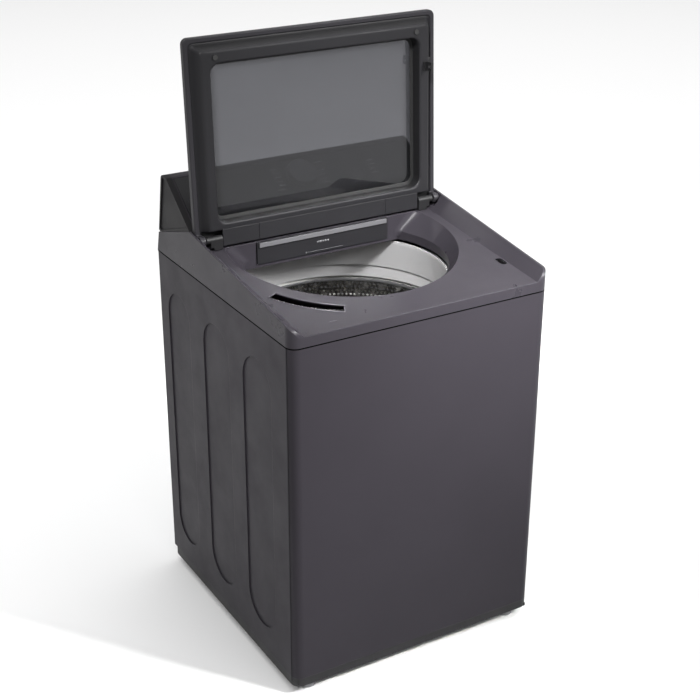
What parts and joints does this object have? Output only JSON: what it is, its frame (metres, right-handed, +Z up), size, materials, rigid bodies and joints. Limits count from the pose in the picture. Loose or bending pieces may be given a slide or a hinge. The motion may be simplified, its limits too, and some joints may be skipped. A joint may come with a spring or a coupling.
{
  "type": "top load washing machine",
  "caption": "Full-size top load washing machine with a lifting glass lid, sloping rear control console, drawer, hanging tub, spin basket, wash plate and direct drive motor.",
  "frame": {"origin": "on the floor under the middle of the machine", "axes": "+Z up, +Y to the back, +X to the right as seen from the front; the lid stands open"},
  "size_m": [0.686, 0.7, 1.4737],
  "materials": {
    "graphite_paint": "satin, fine metallic graphite",
    "black_band": "matt",
    "cover_plastic": "semi-gloss",
    "black_gloss": "high gloss",
    "tinted_glass": "dark tint",
    "frame_plastic": "fine grain",
    "light_plastic": "satin",
    "pale_plastic": "moulded",
    "stainless": "brushed",
    "zinc_steel": "zinc plated",
    "bright_trim": "polished",
    "cast_aluminium": "as cast",
    "black_rubber": "matt",
    "grey_rubber": "matt",
    "circuit_green": "coated",
    "copper_core": "wound copper on steel",
    "galvanised": "galvanised sheet"
  },
  "bodies": {
    "housing": {"base_frame": "black_band", "foot_lock_nuts": "zinc_steel", "cabinet": "graphite_paint", "rear_panel": "galvanised", "cabinet_screws": "zinc_steel", "cord_gland": "black_rubber", "drain_port": "light_plastic", "top_cover": "cover_plastic", "bleach_cup": "cover_plastic", "console_housing": "graphite_paint", "console_cap_right": "cover_plastic", "console_cap_left": "cover_plastic", "console_panel": "black_gloss", "display_window": "black_gloss", "control_board": "circuit_green", "inlet_valve_cold": "pale_plastic", "inlet_valve_hot": "pale_plastic", "inlet_hose": "black_rubber", "pressure_sensor": "pale_plastic", "detergent_housing": "pale_plastic", "lid_lock_housing": "black_band", "hinge_mount_right": "black_band", "hinge_mount_left": "black_band", "suspension_rods": "zinc_steel", "corner_plates": "galvanised", "drain_pump": "pale_plastic", "drain_hose": "black_rubber"},
    "levelling_foot_front_left": {"levelling_foot_front_left": "grey_rubber"},
    "levelling_foot_front_right": {"levelling_foot_front_right": "grey_rubber"},
    "levelling_foot_back_left": {"levelling_foot_back_left": "grey_rubber"},
    "levelling_foot_back_right": {"levelling_foot_back_right": "grey_rubber"},
    "lid": {"lid_outer_shell": "graphite_paint", "lid_glass": "tinted_glass", "lid_inner_frame": "frame_plastic", "lid_glass_seal": "black_rubber", "lid_hinge_pins": "zinc_steel", "lid_bumpers": "black_rubber", "lid_strike": "black_band"},
    "lock_bolt": {"lid_lock_bolt": "zinc_steel"},
    "drawer": {"detergent_drawer": "frame_plastic", "drawer_handle": "light_plastic"},
    "knob": {"control_knob": "black_gloss", "knob_ring": "bright_trim"},
    "power_key": {"power_button": "black_gloss"},
    "start_key": {"start_button": "black_gloss"},
    "tub": {"outer_tub": "pale_plastic", "tub_ring": "light_plastic", "tub_bearings": "zinc_steel", "tub_shaft_seal": "black_rubber", "motor_stator": "copper_core", "suspension_springs": "zinc_steel", "sump_hose": "black_rubber"},
    "basket": {"wash_basket": "stainless", "balance_ring": "light_plastic", "basket_hub": "cast_aluminium"},
    "coupler": {"clutch_coupler": "pale_plastic"},
    "drive": {"impeller": "light_plastic", "drive_shaft": "zinc_steel", "motor_rotor": "black_band"},
    "pump_rotor": {"pump_impeller": "light_plastic"}
  },
  "joints": [
    {"name": "lid_hinge", "type": "hinge", "parent": "housing", "child": "lid", "pos_m": [0, 0.116, 1.003], "axis": [1, 0, 0], "range_deg": [0, 99.7]},
    {"name": "lid_lock", "type": "slide", "parent": "housing", "child": "lock_bolt", "axis": [-1, 0, 0], "range_m": [0, 0.009]},
    {"name": "drawer_slide", "type": "slide", "parent": "housing", "child": "drawer", "axis": [0, -1, 0], "range_m": [0, 0.12]},
    {"name": "knob_turn", "type": "hinge", "parent": "housing", "child": "knob", "pos_m": [0, 0.23006, 1.08125], "axis": [0, -0.6046, 0.7965], "continuous": true},
    {"name": "power_press", "type": "slide", "parent": "housing", "child": "power_key", "axis": [0, 0.6046, -0.7965], "range_m": [0, 0.0012], "stiffness_N_per_m": 600, "springref_m": -0.0003},
    {"name": "start_press", "type": "slide", "parent": "housing", "child": "start_key", "axis": [0, 0.6046, -0.7965], "range_m": [0, 0.0012], "stiffness_N_per_m": 600, "springref_m": -0.0003},
    {"name": "tub_bounce", "type": "slide", "parent": "housing", "child": "tub", "axis": [0, 0, 1], "range_m": [-0.012, 0.005], "stiffness_N_per_m": 20000, "springref_m": 0.0164, "deforming": ["suspension_springs", "sump_hose"]},
    {"name": "basket_spin", "type": "hinge", "parent": "tub", "child": "basket", "pos_m": [0, 0, 0.25], "axis": [0, 0, 1], "continuous": true},
    {"name": "clutch_shift", "type": "slide", "parent": "basket", "child": "coupler", "axis": [0, 0, -1], "range_m": [0, 0.01]},
    {"name": "drive_spin", "type": "hinge", "parent": "tub", "child": "drive", "pos_m": [0, 0, 0.2], "axis": [0, 0, 1], "continuous": true},
    {"name": "pump_spin", "type": "hinge", "parent": "housing", "child": "pump_rotor", "pos_m": [0.15, 0.16, 0.09], "axis": [0, 0, 1], "continuous": true},
    {"name": "foot_turn_front_left", "type": "hinge", "parent": "housing", "child": "levelling_foot_front_left", "pos_m": [-0.293, -0.312, 0.02], "axis": [0, 0, 1], "continuous": true},
    {"name": "foot_turn_front_right", "type": "hinge", "parent": "housing", "child": "levelling_foot_front_right", "pos_m": [0.293, -0.312, 0.02], "axis": [0, 0, 1], "continuous": true},
    {"name": "foot_turn_back_left", "type": "hinge", "parent": "housing", "child": "levelling_foot_back_left", "pos_m": [-0.293, 0.312, 0.02], "axis": [0, 0, 1], "continuous": true},
    {"name": "foot_turn_back_right", "type": "hinge", "parent": "housing", "child": "levelling_foot_back_right", "pos_m": [0.293, 0.312, 0.02], "axis": [0, 0, 1], "continuous": true}
  ]
}
